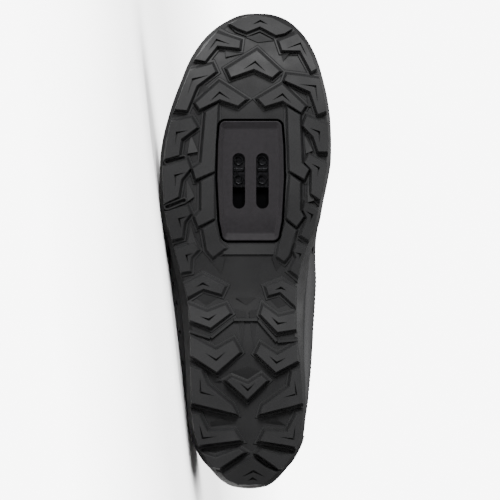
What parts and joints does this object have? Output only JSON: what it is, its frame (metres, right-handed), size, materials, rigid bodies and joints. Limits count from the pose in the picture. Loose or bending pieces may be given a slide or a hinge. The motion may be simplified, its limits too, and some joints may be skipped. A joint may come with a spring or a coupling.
{
  "type": "cycling shoe",
  "caption": "Off-road cycling shoe for the right foot: rubber sole with chevron lugs, slotted tray for a bolted cleat, hollow upper with tongue and straps",
  "frame": {"origin": "middle of the bounding box's foot, on the surface that the shoe lies on", "axes": "the shoe lies on its lateral side: X runs along it with the toe towards -X, the sole faces -Y, and the medial side is up, +Z"},
  "size_m": [0.2842, 0.1264, 0.1074],
  "materials": {
    "rubber": "matt moulded",
    "plate": "fine grained",
    "steel": "dark zinc",
    "foam": "knitted cover",
    "upper": "coated synthetic leather",
    "guard": "satin",
    "padding": "padded mesh",
    "strap": "coated webbing"
  },
  "bodies": {
    "root": {"outsole": "rubber", "cleat_plate": "plate", "cleat_nut": "steel", "insole": "foam", "upper": "upper", "toe_cap": "guard", "heel_counter": "guard", "tongue": "padding", "strap_front": "strap", "strap_middle": "strap", "strap_top": "strap"}
  },
  "joints": []
}
